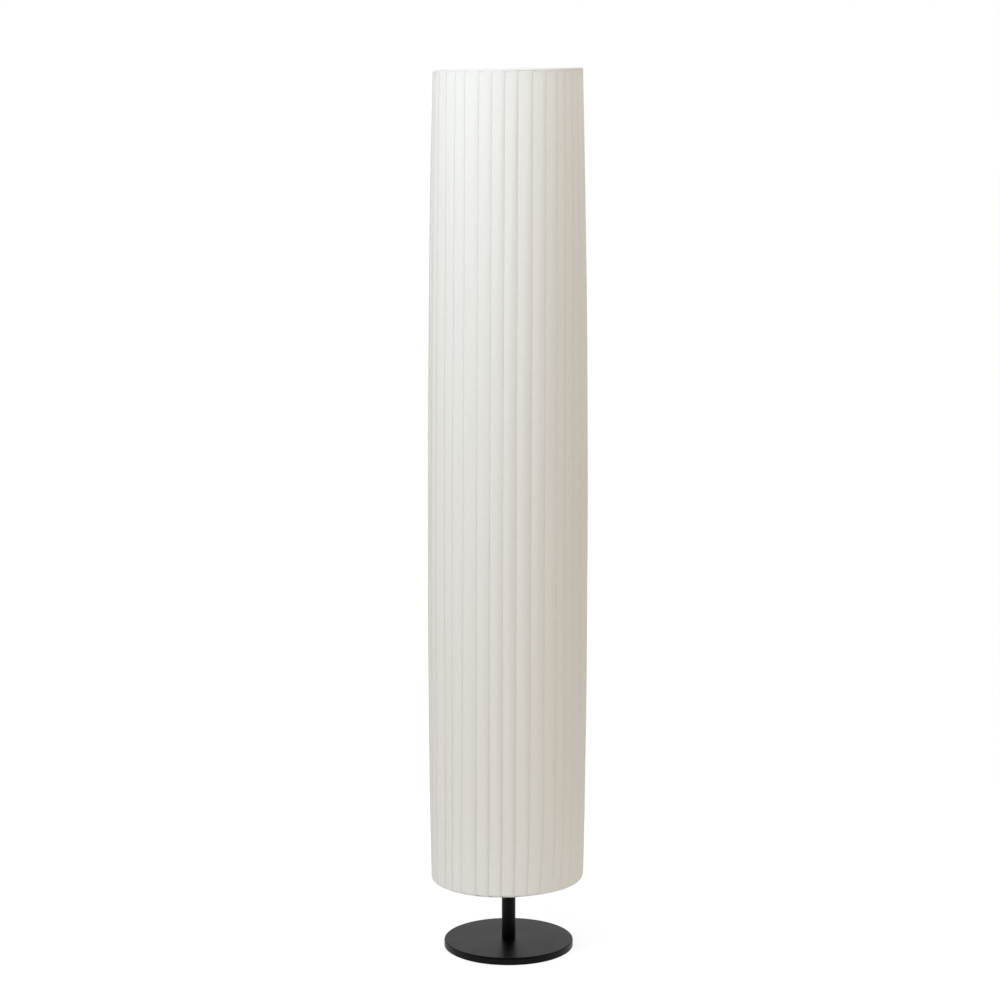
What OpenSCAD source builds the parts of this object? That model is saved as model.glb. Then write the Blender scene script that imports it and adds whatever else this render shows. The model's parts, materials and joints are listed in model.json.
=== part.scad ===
// Column floor lamp: a tall pleated cloth shade on a tube post with a round steel base.
// Millimetres, +Z up. The floor is Z = 0, the post's axis is the Z axis, the front faces -Y.

/* [Base] */
// Diameter of the round steel plate
base_d = 178.2; // [150:0.2:220]
// Thickness of the plate
base_t = 9.2; // [6.5:0.1:12]
// Radius of the plate's rounded upper edge
base_edge_r = 2.2; // [0.4:0.2:2.4]
// Thickness of the foam pad that the plate stands on
pad_t = 1; // [0.5:0.25:2]
// How far the pad stays inside the plate's edge
pad_inset = 1.5; // [1:0.5:10]
// Diameter of the pad's middle hole, which leaves the screw in reach
pad_hole_d = 30; // [22:1:60]
// Diameter of the countersunk screw that pulls the post onto the plate
screw_d = 8; // [6:0.5:8]

/* [Post] */
// Outer diameter of the post's tubes
tube_d = 19; // [17:0.5:22]
// Wall of the tubes
tube_wall = 1.5; // [1:0.1:1.8]
// Length of the threaded bush in the foot of the post
foot_bush_l = 16; // [12:1:24]
// Length of the bushes where two tubes meet, and of the plug at the top
bush_l = 12; // [8:1:18]
// Outer diameter of the hollow threaded nipples
nipple_d = 10; // [9:0.5:10]
// Bore of the hollow nipples, which the wires run through
nipple_bore = 7; // [6.8:0.1:7.2]
// Height of the lower bracket's underside above the floor
lower_bracket_z = 250; // [200:5:350]
// Height of the upper bracket's underside above the floor
upper_bracket_z = 790; // [620:5:800]
// Thickness of the brackets that carry the lampholders
bracket_t = 2.5; // [2:0.5:4]
// Width that the brackets have beyond the tube, on each side
bracket_margin = 1.5; // [1:0.5:4]

/* [Wiring] */
// Bore of the cord inlet's bushing
inlet_bore = 6.4; // [5:0.2:6.8]
// Wall of the bushing inside the tube's hole
inlet_wall = 1.7; // [1.2:0.1:2]
// Width of the bushing's collar outside the tube, beyond its body
inlet_collar = 1.6; // [1:0.2:2]
// Diameter of the cable inside the post
cable_d = 5.5; // [5.2:0.1:6]
// Diameter of the leads from the post to the lampholders
lead_d = 4.5; // [4.2:0.1:5]
// Bend of the leads, at their middle line
lead_bend_r = 18; // [12:1:20]

/* [Lampholders and bulbs] */
// Outer diameter of the lampholders
holder_d = 34; // [33.6:0.2:38]
// Wall of the lampholders
holder_wall = 2; // [1.2:0.2:2]
// Height of the lampholders' tapered foot
holder_foot_h = 22; // [18:1:28]
// Height of the lampholders' straight skirt
holder_skirt_h = 30; // [30:1:36]
// Inner diameter of the lampholders' brass screw shell
socket_d = 27.2; // [27:0.1:27.4]
// Diameter of the bulbs' screw caps, over the thread
cap_d = 26; // [25:0.2:26.2]
// Largest diameter of the bulbs
bulb_d = 60; // [50:1:66]
// Length of the bulbs, from the contact to the crown
bulb_l = 108; // [100:1:125]
// Wall of the bulbs' opal globe
globe_wall = 1.2; // [0.8:0.2:2]
// Free space between the post and the bulbs
bulb_gap = 6; // [4:1:10]

/* [Shade frame] */
// Height of the shade's lower edge above the floor
shade_gap = 100; // [60:0.2:140]
// Height of the shade
shade_h = 1100; // [1000:0.2:1200]
// Diameter of the top ring, at the wire's middle line
top_ring_d = 190; // [186:1:226]
// How much wider the bottom ring is, because the shade narrows a little towards its top
ring_taper = 10; // [0:1:14]
// Wire of the end rings
ring_wire_d = 4; // [3:0.5:6]
// Number of upright rods, of which every second one carries an arm
rod_count = 6; // [4:2:8]
// Diameter of the upright rods
rod_d = 3; // [2:0.5:4]
// Wire of the middle ring
middle_wire_d = 3; // [2:0.5:4]
// How far the spider lies below the shade's upper edge
spider_drop = 36; // [30:1:60]
// Diameter of the spider's plate
spider_plate_d = 32; // [28:1:44]
// Thickness of the spider's plate
spider_plate_t = 2.5; // [2:0.5:4]
// Diameter of the spider's arms
arm_d = 4; // [3:0.5:5]
// Diameter of the threaded stud that the spider drops over
stud_d = 10; // [8:0.5:10]
// Diameter of the cap nut on the stud
nut_d = 18; // [17:0.5:26]
// Height of the cap nut
nut_h = 11; // [9:0.5:15]

/* [Pleated cloth] */
// Number of pleats round the shade
pleat_count = 36; // [24:1:48]
// How much further the cloth swells out at mid height than at its ends
bulge = 6.4; // [2:0.2:12]
// Depth of the pleats at the ends, where they are pressed flat
pleat_end_depth = 0.4; // [0.2:0.1:0.8]
// Depth of the pleats at mid height
pleat_mid_depth = 2.2; // [1:0.1:3]
// Thickness of the pleated cloth
cloth_t = 0.6; // [0.4:0.1:1]
// Thickness of the hem tape that rolls round each end ring
hem_t = 0.4; // [0.3:0.1:0.6]
// Height of the hem tape's flat lip behind the cloth
hem_lip_h = 9; // [5:1:20]

/* [Hidden] */
$fn = 72;

// Clearances
weld_gap = 0.1;       // between pieces that are welded or pressed together
thread_gap = 0.1;     // radial, between a thread and the hole that it screws into
hole_gap = 0.2;       // radial, between a nipple and a plain hole
contact_gap = 0.3;    // between the bulbs' tips and the contacts under them
lip_gap = 0.2;        // between the hem tape's lip and the cloth outside it
spider_hole_gap = 1.2; // radial, between the stud and the spider's hole
cut = 1;              // how far a cutting solid runs past the faces that it cuts

// Heights of the stand, from the floor up
plate_top = pad_t + base_t;
shade_top = shade_gap + shade_h;
spider_z = shade_top - spider_drop;
shoulder_t = 2;
tube_top = spider_z - shoulder_t;
screw_head_h = screw_d / 2;
screw_end_z = plate_top + foot_bush_l - 2;

// Post
tube_r = tube_d / 2;
bore_r = tube_r - tube_wall;
bush_r = bore_r - weld_gap;
inlet_body_r = inlet_bore / 2 + inlet_wall;
inlet_collar_r = inlet_body_r + inlet_collar;
inlet_z = plate_top + foot_bush_l + inlet_collar_r + 3;
inlet_in_y = bore_r - 2;
inlet_out_y = tube_r + 2.5;

// Brackets, wiring and lampholders
bulb_r = bulb_d / 2;
holder_x = tube_r + bulb_gap + bulb_r;
bracket_w = tube_d + 2 * bracket_margin;
nut_af = nipple_d + 4;
nipple_nut_t = 3;
nipple_tail = 2;
lead_r = lead_d / 2;
lead_drop = nipple_nut_t + nipple_tail + lead_bend_r + 7;
lead_into_nipple = 4;
lead_hole_gap = 0.75;
cable_r = cable_d / 2;
holder_r = holder_d / 2;
holder_in_r = holder_r - holder_wall;
core_gap = 0.3;
core_t = 8;
core_z = holder_foot_h - 3.5;
core_top = core_z + core_t;
contact_t = 1.5;
contact_r = 4;
socket_t = 0.8;
holder_top = holder_foot_h + holder_skirt_h;

// Bulbs, with heights from the bracket's upper face
tip_z = core_top + contact_t + contact_gap;
cap_r = cap_d / 2;
tip_r = 4.5;
tip_h = 3.2;
thread_pitch = 3.6;
thread_depth = 0.7;
thread_count = 4;
cap_z = tip_z + tip_h;
cap_top = holder_top - 1.5;
collar_low_r = cap_r + 0.6;
collar_z = holder_top + 1;
globe_z = tip_z + bulb_l - bulb_r;
globe_from = -30;

// Shade
top_ring_r = top_ring_d / 2;
bottom_ring_r = (top_ring_d + ring_taper) / 2;
wire_r = ring_wire_d / 2;
rod_r = rod_d / 2;
hem_in_r = wire_r + weld_gap;
hem_out_r = hem_in_r + hem_t;
top_ring_z = shade_top - hem_out_r;
bottom_ring_z = shade_gap + hem_out_r;
middle_ring_z = (top_ring_z + bottom_ring_z) / 2;
middle_wire_r = middle_wire_d / 2;
rod_lean = atan((bottom_ring_r - top_ring_r) / (top_ring_z - bottom_ring_z));
middle_ring_r = (top_ring_r + bottom_ring_r) / 2 - rod_r - weld_gap - middle_wire_r;
hem_reach = 1;
washer_t = 1.5;
washer_r = stud_d / 2 + 4.5;
nut_z = spider_z + spider_plate_t + washer_t;
stud_top = nut_z + nut_h - 4;

// Cloth: crests and tucks go round by turns, a crest at the right edge of each pleat
pleat_pitch = 360 / pleat_count;
pleat_phase = 7.2;
tuck_share = 0.08;
sleeve_rows = 7;
sleeve_half_h = (top_ring_z - bottom_ring_z) / 2 + hem_reach;

// Colours
black_paint = [0.06, 0.06, 0.065];
white_paint = [0.9, 0.9, 0.88];
zinc = [0.68, 0.69, 0.7];
brass = [0.78, 0.62, 0.32];
porcelain = [0.93, 0.92, 0.88];
opal = [0.95, 0.95, 0.93];
cloth_white = [0.92, 0.91, 0.88];
foam = [0.1, 0.1, 0.1];

// ---- Shared shapes ----

// Points on an arc round (x, y), from angle a0 to angle a1, in steps segments
function arc(x, y, r, a0, a1, steps) = [
    for (i = [0:steps]) let (a = a0 + (a1 - a0) * i / steps) [x + r * cos(a), y + r * sin(a)]
];

// A tube that stands on z = 0
module tube(r_out, r_in, h) {
    difference() {
        cylinder(r = r_out, h = h);
        translate([0, 0, -cut]) cylinder(r = r_in, h = h + 2 * cut);
    }
}

// A closed wire ring, level at z = 0
module wire_ring(r_middle, r_wire) {
    rotate_extrude() translate([r_middle, 0]) circle(r = r_wire);
}

// A hole from the post's axis outward, drilled towards +X
module side_hole(r, z) {
    translate([0, 0, z]) rotate([0, 90, 0]) cylinder(r = r, h = tube_r + cut);
}

// Places that repeat: side is 1 for the lower lampholder at +X and -1 for the upper one at -X
module at_holder(side, bracket_z) {
    translate([side * holder_x, 0, bracket_z + bracket_t]) children();
}

module at_lower() {
    at_holder(1, lower_bracket_z) children();
}

module at_upper() {
    at_holder(-1, upper_bracket_z) children();
}

// ---- Base ----

module base_pad() {
    color(foam) tube(base_d / 2 - pad_inset, pad_hole_d / 2, pad_t);
}

module base_plate() {
    r = base_d / 2;
    edge = arc(r - base_edge_r, base_t - base_edge_r, base_edge_r, 0, 90, 8);
    color(black_paint) translate([0, 0, pad_t]) difference() {
        rotate_extrude() polygon(concat([[0, 0], [r, 0]], edge, [[0, base_t]]));
        translate([0, 0, -cut]) cylinder(r = screw_d / 2 + hole_gap, h = base_t + 2 * cut);
        countersink(hole_gap, 0);
    }
}

// The cone of the screw's head, grown by gap, from z = 0 up
module countersink(gap, inset) {
    translate([0, 0, inset]) cylinder(r1 = screw_d + gap, r2 = screw_d / 2 + gap, h = screw_head_h);
}

module base_screw() {
    color(zinc) union() {
        translate([0, 0, pad_t]) countersink(0, 0);
        translate([0, 0, pad_t + screw_head_h - cut])
            cylinder(r = screw_d / 2, h = screw_end_z - pad_t - screw_head_h + cut);
    }
}

// ---- Post ----

module foot_bush() {
    color(zinc) translate([0, 0, plate_top])
        tube(bush_r, screw_d / 2 + thread_gap, foot_bush_l);
}

module lower_tube() {
    color(black_paint) difference() {
        translate([0, 0, plate_top]) tube(tube_r, bore_r, lower_bracket_z - plate_top);
        side_hole(lead_r + lead_hole_gap, lower_bracket_z - lead_drop);
        rotate([0, 0, 90]) side_hole(inlet_body_r + thread_gap, inlet_z);
    }
}

module middle_tube() {
    from = lower_bracket_z + bracket_t;
    color(zinc) difference() {
        translate([0, 0, from]) tube(tube_r, bore_r, upper_bracket_z - from);
        rotate([0, 0, 180]) side_hole(lead_r + lead_hole_gap, upper_bracket_z - lead_drop);
    }
}

module upper_tube() {
    from = upper_bracket_z + bracket_t;
    color(zinc) translate([0, 0, from]) tube(tube_r, bore_r, tube_top - from);
}

module tube_bushes() {
    for (z = [lower_bracket_z, upper_bracket_z]) {
        color(zinc) translate([0, 0, z - bush_l]) tube(bush_r, nipple_d / 2 + thread_gap, bush_l);
        color(zinc) translate([0, 0, z + bracket_t]) tube(bush_r, nipple_d / 2 + thread_gap, bush_l);
    }
}

module tube_nipples() {
    for (z = [lower_bracket_z, upper_bracket_z])
        color(brass) translate([0, 0, z - bush_l + 1])
            tube(nipple_d / 2, nipple_bore / 2, 2 * bush_l + bracket_t - 2);
}

module top_stud() {
    color(zinc) union() {
        translate([0, 0, tube_top - bush_l]) cylinder(r = bush_r, h = bush_l + cut);
        translate([0, 0, tube_top]) cylinder(r = tube_r, h = shoulder_t);
        translate([0, 0, tube_top + cut]) cylinder(r = stud_d / 2, h = stud_top - tube_top - cut);
    }
}

module cord_inlet_bushing() {
    inlet_l = inlet_out_y - inlet_in_y;
    color(black_paint) translate([0, 0, inlet_z]) difference() {
        union() {
            translate([0, inlet_in_y, 0]) rotate([-90, 0, 0]) cylinder(r = inlet_body_r, h = inlet_l);
            difference() {
                translate([0, inlet_in_y, 0]) rotate([-90, 0, 0])
                    cylinder(r = inlet_collar_r, h = inlet_l);
                translate([0, 0, -inlet_collar_r - cut])
                    cylinder(r = tube_r + weld_gap, h = 2 * (inlet_collar_r + cut));
            }
        }
        translate([0, inlet_in_y - cut, 0]) rotate([-90, 0, 0])
            cylinder(r = inlet_bore / 2, h = inlet_l + 2 * cut);
    }
}

// ---- Brackets and wiring ----

module bracket() {
    difference() {
        union() {
            cylinder(d = bracket_w, h = bracket_t);
            translate([holder_x, 0, 0]) cylinder(d = bracket_w, h = bracket_t);
            translate([0, -bracket_w / 2, 0]) cube([holder_x, bracket_w, bracket_t]);
        }
        for (x = [0, holder_x])
            translate([x, 0, -cut]) cylinder(r = nipple_d / 2 + hole_gap, h = bracket_t + 2 * cut);
    }
}

module lower_bracket() {
    color(zinc) translate([0, 0, lower_bracket_z]) bracket();
}

module upper_bracket() {
    color(zinc) translate([0, 0, upper_bracket_z]) rotate([0, 0, 180]) bracket();
}

module post_cable() {
    from = inlet_z + 8;
    to = upper_bracket_z - lead_drop + lead_r + 1;
    color(white_paint) translate([0, 0, from]) cylinder(r = cable_r, h = to - from);
}

// One lead: out of the post's side, round a bend and up into the lampholder's nipple
module lead() {
    start_x = cable_r + hole_gap;
    bend_x = holder_x - lead_bend_r;
    bend_z = lead_bend_r - lead_drop;
    union() {
        translate([start_x, 0, -lead_drop]) rotate([0, 90, 0])
            cylinder(r = lead_r, h = bend_x - start_x);
        translate([bend_x, 0, bend_z]) rotate([90, 0, 0]) rotate([0, 0, -90])
            rotate_extrude(angle = 90) translate([lead_bend_r, 0]) circle(r = lead_r);
        translate([holder_x, 0, bend_z])
            cylinder(r = lead_r, h = lead_into_nipple - bend_z);
    }
}

module lower_lead() {
    color(white_paint) translate([0, 0, lower_bracket_z]) lead();
}

module upper_lead() {
    color(white_paint) translate([0, 0, upper_bracket_z]) rotate([0, 0, 180]) lead();
}

// ---- Lampholders ----

module holder_nipple() {
    low = bracket_t + nipple_nut_t + nipple_tail;
    translate([0, 0, -low]) tube(nipple_d / 2, nipple_bore / 2, low + 9);
}

module holder_nut() {
    translate([0, 0, -bracket_t - nipple_nut_t]) difference() {
        cylinder(d = nut_af / cos(30), h = nipple_nut_t, $fn = 6);
        translate([0, 0, -cut])
            cylinder(r = nipple_d / 2 + thread_gap, h = nipple_nut_t + 2 * cut, $fn = 72);
    }
}

module holder_foot() {
    hole_r = nipple_d / 2 + hole_gap;
    taper_z = holder_foot_h - 4;
    rotate_extrude() polygon([
        [hole_r, 0], [holder_r - 6, 0], [holder_r - 5, 3], [holder_r, taper_z],
        [holder_r, holder_foot_h], [holder_in_r, holder_foot_h], [holder_in_r, taper_z],
        [holder_in_r - 5, 3 + holder_wall], [hole_r, 3 + holder_wall]
    ]);
}

module holder_skirt() {
    translate([0, 0, holder_foot_h]) tube(holder_r, holder_in_r, holder_skirt_h);
}

module holder_core() {
    translate([0, 0, core_z]) cylinder(r = holder_in_r - core_gap, h = core_t);
}

module holder_contacts() {
    translate([0, 0, core_top]) cylinder(r = contact_r, h = contact_t);
    translate([0, 0, core_top]) tube(socket_d / 2 + socket_t, socket_d / 2, holder_top - 3 - core_top);
}

module holder_nipples() {
    color(brass) at_lower() holder_nipple();
    color(brass) at_upper() holder_nipple();
}

module holder_nuts() {
    color(zinc) at_lower() holder_nut();
    color(zinc) at_upper() holder_nut();
}

module lower_holder_foot() {
    color(black_paint) at_lower() holder_foot();
}

module lower_holder_skirt() {
    color(black_paint) at_lower() holder_skirt();
}

module lower_holder_core() {
    color(porcelain) at_lower() holder_core();
}

module lower_holder_contacts() {
    color(brass) at_lower() holder_contacts();
}

module upper_holder_foot() {
    color(black_paint) at_upper() holder_foot();
}

module upper_holder_skirt() {
    color(black_paint) at_upper() holder_skirt();
}

module upper_holder_core() {
    color(porcelain) at_upper() holder_core();
}

module upper_holder_contacts() {
    color(brass) at_upper() holder_contacts();
}

// ---- Bulbs ----

// Screw cap: the contact's cone, then a sleeve with round thread ridges
module bulb_cap() {
    root_r = cap_r - thread_depth;
    ridges = [
        for (i = [0:thread_count - 1], p = [[0, root_r], [0.5, cap_r]])
            [p[1], cap_z + 1 + thread_pitch * (i + p[0])]
    ];
    last_z = cap_z + 1 + thread_pitch * thread_count;
    rotate_extrude() polygon(concat(
        [[0, tip_z], [tip_r, tip_z], [root_r, cap_z]],
        ridges,
        [[root_r, last_z], [root_r, cap_top], [0, cap_top]]
    ));
}

module bulb_collar() {
    seat_r = bulb_r * cos(globe_from);
    seat_z = globe_z + bulb_r * sin(globe_from);
    rotate_extrude() polygon([
        [0, cap_top], [cap_r - thread_depth, cap_top], [collar_low_r, collar_z],
        [seat_r, seat_z], [0, seat_z]
    ]);
}

module bulb_globe() {
    inner_r = bulb_r - globe_wall;
    seat_z = globe_z + bulb_r * sin(globe_from);
    inner_from = asin((seat_z - globe_z) / inner_r);
    rotate_extrude() polygon(concat(
        arc(0, globe_z, bulb_r, globe_from, 90, 20),
        arc(0, globe_z, inner_r, 90, inner_from, 20)
    ));
}

module lower_bulb_cap() {
    color(zinc) at_lower() bulb_cap();
}

module lower_bulb_collar() {
    color(white_paint) at_lower() bulb_collar();
}

module lower_bulb_globe() {
    color(opal) at_lower() bulb_globe();
}

module upper_bulb_cap() {
    color(zinc) at_upper() bulb_cap();
}

module upper_bulb_collar() {
    color(white_paint) at_upper() bulb_collar();
}

module upper_bulb_globe() {
    color(opal) at_upper() bulb_globe();
}

// ---- Shade frame ----

// Distance of the rods' middle lines from the post's axis, at height z
function rod_x(z) =
    bottom_ring_r - (bottom_ring_r - top_ring_r) * (z - bottom_ring_z) / (top_ring_z - bottom_ring_z);

module top_ring() {
    color(white_paint) translate([0, 0, top_ring_z]) wire_ring(top_ring_r, wire_r);
}

module middle_ring() {
    color(white_paint) translate([0, 0, middle_ring_z]) wire_ring(middle_ring_r, middle_wire_r);
}

module bottom_ring() {
    color(white_paint) translate([0, 0, bottom_ring_z]) wire_ring(bottom_ring_r, wire_r);
}

module shade_rods() {
    from = bottom_ring_z + wire_r + weld_gap;
    to = top_ring_z - wire_r - weld_gap;
    for (i = [0:rod_count - 1])
        color(white_paint) rotate([0, 0, 90 + 360 * i / rod_count])
            translate([rod_x(from), 0, from]) rotate([0, -rod_lean, 0])
                cylinder(r = rod_r, h = (to - from) / cos(rod_lean));
}

module spider() {
    arm_from = spider_plate_d / 2 - 3;
    arm_to = rod_x(spider_z + spider_plate_t / 2) - rod_r - weld_gap;
    color(white_paint) difference() {
        union() {
            translate([0, 0, spider_z]) cylinder(d = spider_plate_d, h = spider_plate_t);
            for (i = [0:2:rod_count - 1])
                rotate([0, 0, 90 + 360 * i / rod_count])
                    translate([arm_from, 0, spider_z + spider_plate_t / 2]) rotate([0, 90, 0])
                        cylinder(d = arm_d, h = arm_to - arm_from);
        }
        translate([0, 0, spider_z - cut])
            cylinder(r = stud_d / 2 + spider_hole_gap, h = spider_plate_t + 2 * cut);
    }
}

module spider_washer() {
    color(zinc) translate([0, 0, spider_z + spider_plate_t])
        tube(washer_r, stud_d / 2 + hole_gap, washer_t);
}

// Cap nut with a domed crown, a blind bore and grooves for the fingers
module cap_nut() {
    grip_count = 20;
    grip_r = 0.8;
    crown_r = nut_d / 2 - 2;
    side_h = nut_h - 3;
    color(zinc) translate([0, 0, nut_z]) difference() {
        rotate_extrude() polygon(concat(
            [[0, 0], [nut_d / 2, 0], [nut_d / 2, side_h]],
            [for (p = arc(0, 0, 1, 10, 90, 8)) [crown_r * p[0], side_h + (nut_h - side_h) * p[1]]]
        ));
        translate([0, 0, -cut]) cylinder(r = stud_d / 2 + thread_gap, h = stud_top - nut_z + 1 + cut);
        for (i = [0:grip_count - 1])
            rotate([0, 0, 360 * i / grip_count]) translate([nut_d / 2 + 0.3, 0, -cut])
                cylinder(r = grip_r, h = nut_h + 2 * cut, $fn = 16);
    }
}

// ---- Pleated cloth ----

// Row i of the cloth runs from -1 at the lower end to 1 at the upper end, closer at the ends
function row_at(i) = -cos(180 * i / sleeve_rows);
function end_r(ring_r) =
    (ring_r + hem_out_r + lip_gap) / cos(pleat_pitch / 2) + cloth_t + pleat_end_depth;
function crest_r(t) =
    end_r(bottom_ring_r) * (1 - t) / 2 + end_r(top_ring_r) * (1 + t) / 2 + bulge * (1 - t * t);
function pleat_depth(t) = pleat_end_depth + (pleat_mid_depth - pleat_end_depth) * (1 - t * t);

// Point j of row i, where even points are crests and odd ones are tucks; back is 1 for the inner face
function sleeve_point(i, j, back) =
    let (t = row_at(i), odd = j % 2)
    let (r = crest_r(t) - odd * pleat_depth(t) - back * cloth_t)
    let (a = pleat_phase + pleat_pitch * (floor(j / 2) + odd * tuck_share))
    [r * cos(a), r * sin(a), middle_ring_z + sleeve_half_h * t];

module pleated_sleeve() {
    n = 2 * pleat_count;
    rows = sleeve_rows + 1;
    points = [
        for (back = [0, 1], i = [0:rows - 1], j = [0:n - 1]) sleeve_point(i, j, back)
    ];
    // Index of a point
    function at(back, i, j) = (back * rows + i) * n + j % n;
    outer = [
        for (i = [0:rows - 2], j = [0:n - 1], k = [0, 1])
            k == 0
                ? [at(0, i, j), at(0, i + 1, j), at(0, i + 1, j + 1)]
                : [at(0, i, j), at(0, i + 1, j + 1), at(0, i, j + 1)]
    ];
    inner = [
        for (i = [0:rows - 2], j = [0:n - 1], k = [0, 1])
            k == 0
                ? [at(1, i, j), at(1, i + 1, j + 1), at(1, i + 1, j)]
                : [at(1, i, j), at(1, i, j + 1), at(1, i + 1, j + 1)]
    ];
    lower_end = [
        for (j = [0:n - 1], k = [0, 1])
            k == 0
                ? [at(0, 0, j), at(0, 0, j + 1), at(1, 0, j + 1)]
                : [at(0, 0, j), at(1, 0, j + 1), at(1, 0, j)]
    ];
    upper_end = [
        for (j = [0:n - 1], k = [0, 1])
            k == 0
                ? [at(0, rows - 1, j), at(1, rows - 1, j + 1), at(0, rows - 1, j + 1)]
                : [at(0, rows - 1, j), at(1, rows - 1, j), at(1, rows - 1, j + 1)]
    ];
    color(cloth_white) polyhedron(points, concat(outer, inner, lower_end, upper_end));
}

// Hem tape: from a flat lip behind the cloth, over the ring and down its inner side
module hem(ring_r) {
    round_to = 205;
    steps = 20;
    rotate_extrude() polygon(concat(
        [[ring_r + hem_in_r, -hem_lip_h], [ring_r + hem_out_r, -hem_lip_h]],
        arc(ring_r, 0, hem_out_r, 0, round_to, steps),
        arc(ring_r, 0, hem_in_r / cos(round_to / steps / 2), round_to, 0, steps)
    ));
}

module top_hem() {
    color(cloth_white) translate([0, 0, top_ring_z]) hem(top_ring_r);
}

module bottom_hem() {
    color(cloth_white) translate([0, 0, bottom_ring_z]) mirror([0, 0, 1]) hem(bottom_ring_r);
}

// ---- What is drawn ----

base_pad();
base_plate();
base_screw();
lower_tube();
middle_tube();
upper_tube();
foot_bush();
tube_bushes();
tube_nipples();
top_stud();
cord_inlet_bushing();
lower_bracket();
upper_bracket();
post_cable();
lower_lead();
upper_lead();
holder_nipples();
holder_nuts();
lower_holder_foot();
lower_holder_skirt();
lower_holder_core();
lower_holder_contacts();
upper_holder_foot();
upper_holder_skirt();
upper_holder_core();
upper_holder_contacts();
lower_bulb_cap();
lower_bulb_collar();
lower_bulb_globe();
upper_bulb_cap();
upper_bulb_collar();
upper_bulb_globe();
top_ring();
middle_ring();
bottom_ring();
shade_rods();
spider();
spider_washer();
pleated_sleeve();
top_hem();
bottom_hem();
cap_nut();
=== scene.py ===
# %% [markdown]
# # A pleated column floor lamp
#
# The lamp is a steel post on a round black base, and a tall white shade hung over it. The shade is one
# sheet of cloth in 36 knife pleats, glued round two wire rings. The exact solids of the frame come from a
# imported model. This lesson gives each of them its finish, and makes again, as finer meshes, the pieces that
# the solids only hold the place of: above all the pleated cloth.

# %% Load the frame
import json
import math

import bpy
import numpy as np
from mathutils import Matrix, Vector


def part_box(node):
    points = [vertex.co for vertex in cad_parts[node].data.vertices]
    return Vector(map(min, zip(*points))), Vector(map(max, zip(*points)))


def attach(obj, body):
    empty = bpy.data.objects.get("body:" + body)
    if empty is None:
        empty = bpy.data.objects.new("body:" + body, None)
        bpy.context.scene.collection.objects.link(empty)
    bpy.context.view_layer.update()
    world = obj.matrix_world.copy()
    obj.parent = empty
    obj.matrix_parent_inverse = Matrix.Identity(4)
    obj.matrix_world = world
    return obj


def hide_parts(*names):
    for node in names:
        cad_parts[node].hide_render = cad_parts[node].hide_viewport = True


MM = 0.001
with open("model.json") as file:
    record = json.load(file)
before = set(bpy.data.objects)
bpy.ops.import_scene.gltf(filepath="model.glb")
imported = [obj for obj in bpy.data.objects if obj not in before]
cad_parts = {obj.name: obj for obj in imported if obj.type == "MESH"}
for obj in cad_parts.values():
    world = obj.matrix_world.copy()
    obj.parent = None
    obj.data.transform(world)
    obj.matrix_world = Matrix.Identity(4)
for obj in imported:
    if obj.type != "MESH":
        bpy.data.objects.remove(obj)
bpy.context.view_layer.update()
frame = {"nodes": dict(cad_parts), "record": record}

# %% [markdown]
# ## The camera
#
# The upper rim of the shade looks flat and the base looks like an ellipse a third as high as it is wide, so
# the camera stands as high as the upper rim, and near enough to see the base from well above. It looks down
# at the middle of the lamp, 9 degrees below the horizon. The distance and the lens follow from the circles
# in the photograph: how flat the lower rim and the base look tells how far down they are seen from, and how
# far apart they lie tells the focal length.

# %% Camera
PHOTO_PX = 1000.0           # width and height of the photograph's frame
FOCAL_PX = 2685.9           # focal length, in the same pixels
LOOK_DOWN = 9.081           # degrees
AXIS_COLUMN = 508.6         # column of the post's axis
CAMERA_DISTANCE = 3.585
CAMERA_HEIGHT = 1.198
SENSOR_MM = 36.0

camera_data = bpy.data.cameras.new("camera")
camera_data.sensor_width = SENSOR_MM
camera_data.lens = SENSOR_MM * FOCAL_PX / PHOTO_PX
camera_data.shift_x = (PHOTO_PX / 2 - AXIS_COLUMN) / PHOTO_PX
camera = bpy.data.objects.new("camera", camera_data)
camera.location = (0.0, -CAMERA_DISTANCE, CAMERA_HEIGHT)
camera.rotation_euler = (math.radians(90.0 - LOOK_DOWN), 0.0, 0.0)
bpy.context.scene.collection.objects.link(camera)
bpy.context.scene.camera = camera
bpy.context.scene.view_settings.view_transform = "Standard"
print("lens, mm:", round(camera_data.lens, 2), "shift:", round(camera_data.shift_x, 4))

# %% [markdown]
# ## Small helpers
#
# Most of what follows is made of three things: a mesh from points and faces, a node placed in a material,
# and an input socket that takes a value or a link. Each gets a short function, so that the cells below read
# as what they build and not as bookkeeping.

# %% Helpers for meshes
def add_mesh(name, points, faces, smooth_angle=40.0):
    """A mesh object of these points, smooth except across edges sharper than smooth_angle degrees."""
    mesh = bpy.data.meshes.new(name)
    mesh.from_pydata([tuple(map(float, p)) for p in points], [], faces)
    mesh.validate()
    mesh.polygons.foreach_set("use_smooth", [True] * len(mesh.polygons))
    mesh.set_sharp_from_angle(angle=math.radians(smooth_angle))
    piece = bpy.data.objects.new(name, mesh)
    bpy.context.scene.collection.objects.link(piece)
    return piece


def ring_faces(rows, columns):
    """Quads that join closed rings of points, counted ring by ring, into an open sleeve."""
    faces = []
    for i in range(rows - 1):
        for j in range(columns):
            here, after = i * columns + j, i * columns + (j + 1) % columns
            faces.append((here, after, after + columns, here + columns))
    return faces


# %% Helpers for node trees
def empty_tree(owner):
    """The node tree of a material or a world, cleared."""
    owner.use_nodes = True
    owner.node_tree.nodes.clear()
    return owner.node_tree


def set_values(node, **settings):
    """Sets a node's properties, or the values of its input sockets, by their names."""
    for key, value in settings.items():
        if hasattr(node, key):
            setattr(node, key, value)
        else:
            node.inputs[key.replace("_", " ")].default_value = value


def add_node(tree, kind, **settings):
    """A node of this kind in tree, with these properties and input values."""
    node = tree.nodes.new(kind)
    set_values(node, **settings)
    return node


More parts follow.
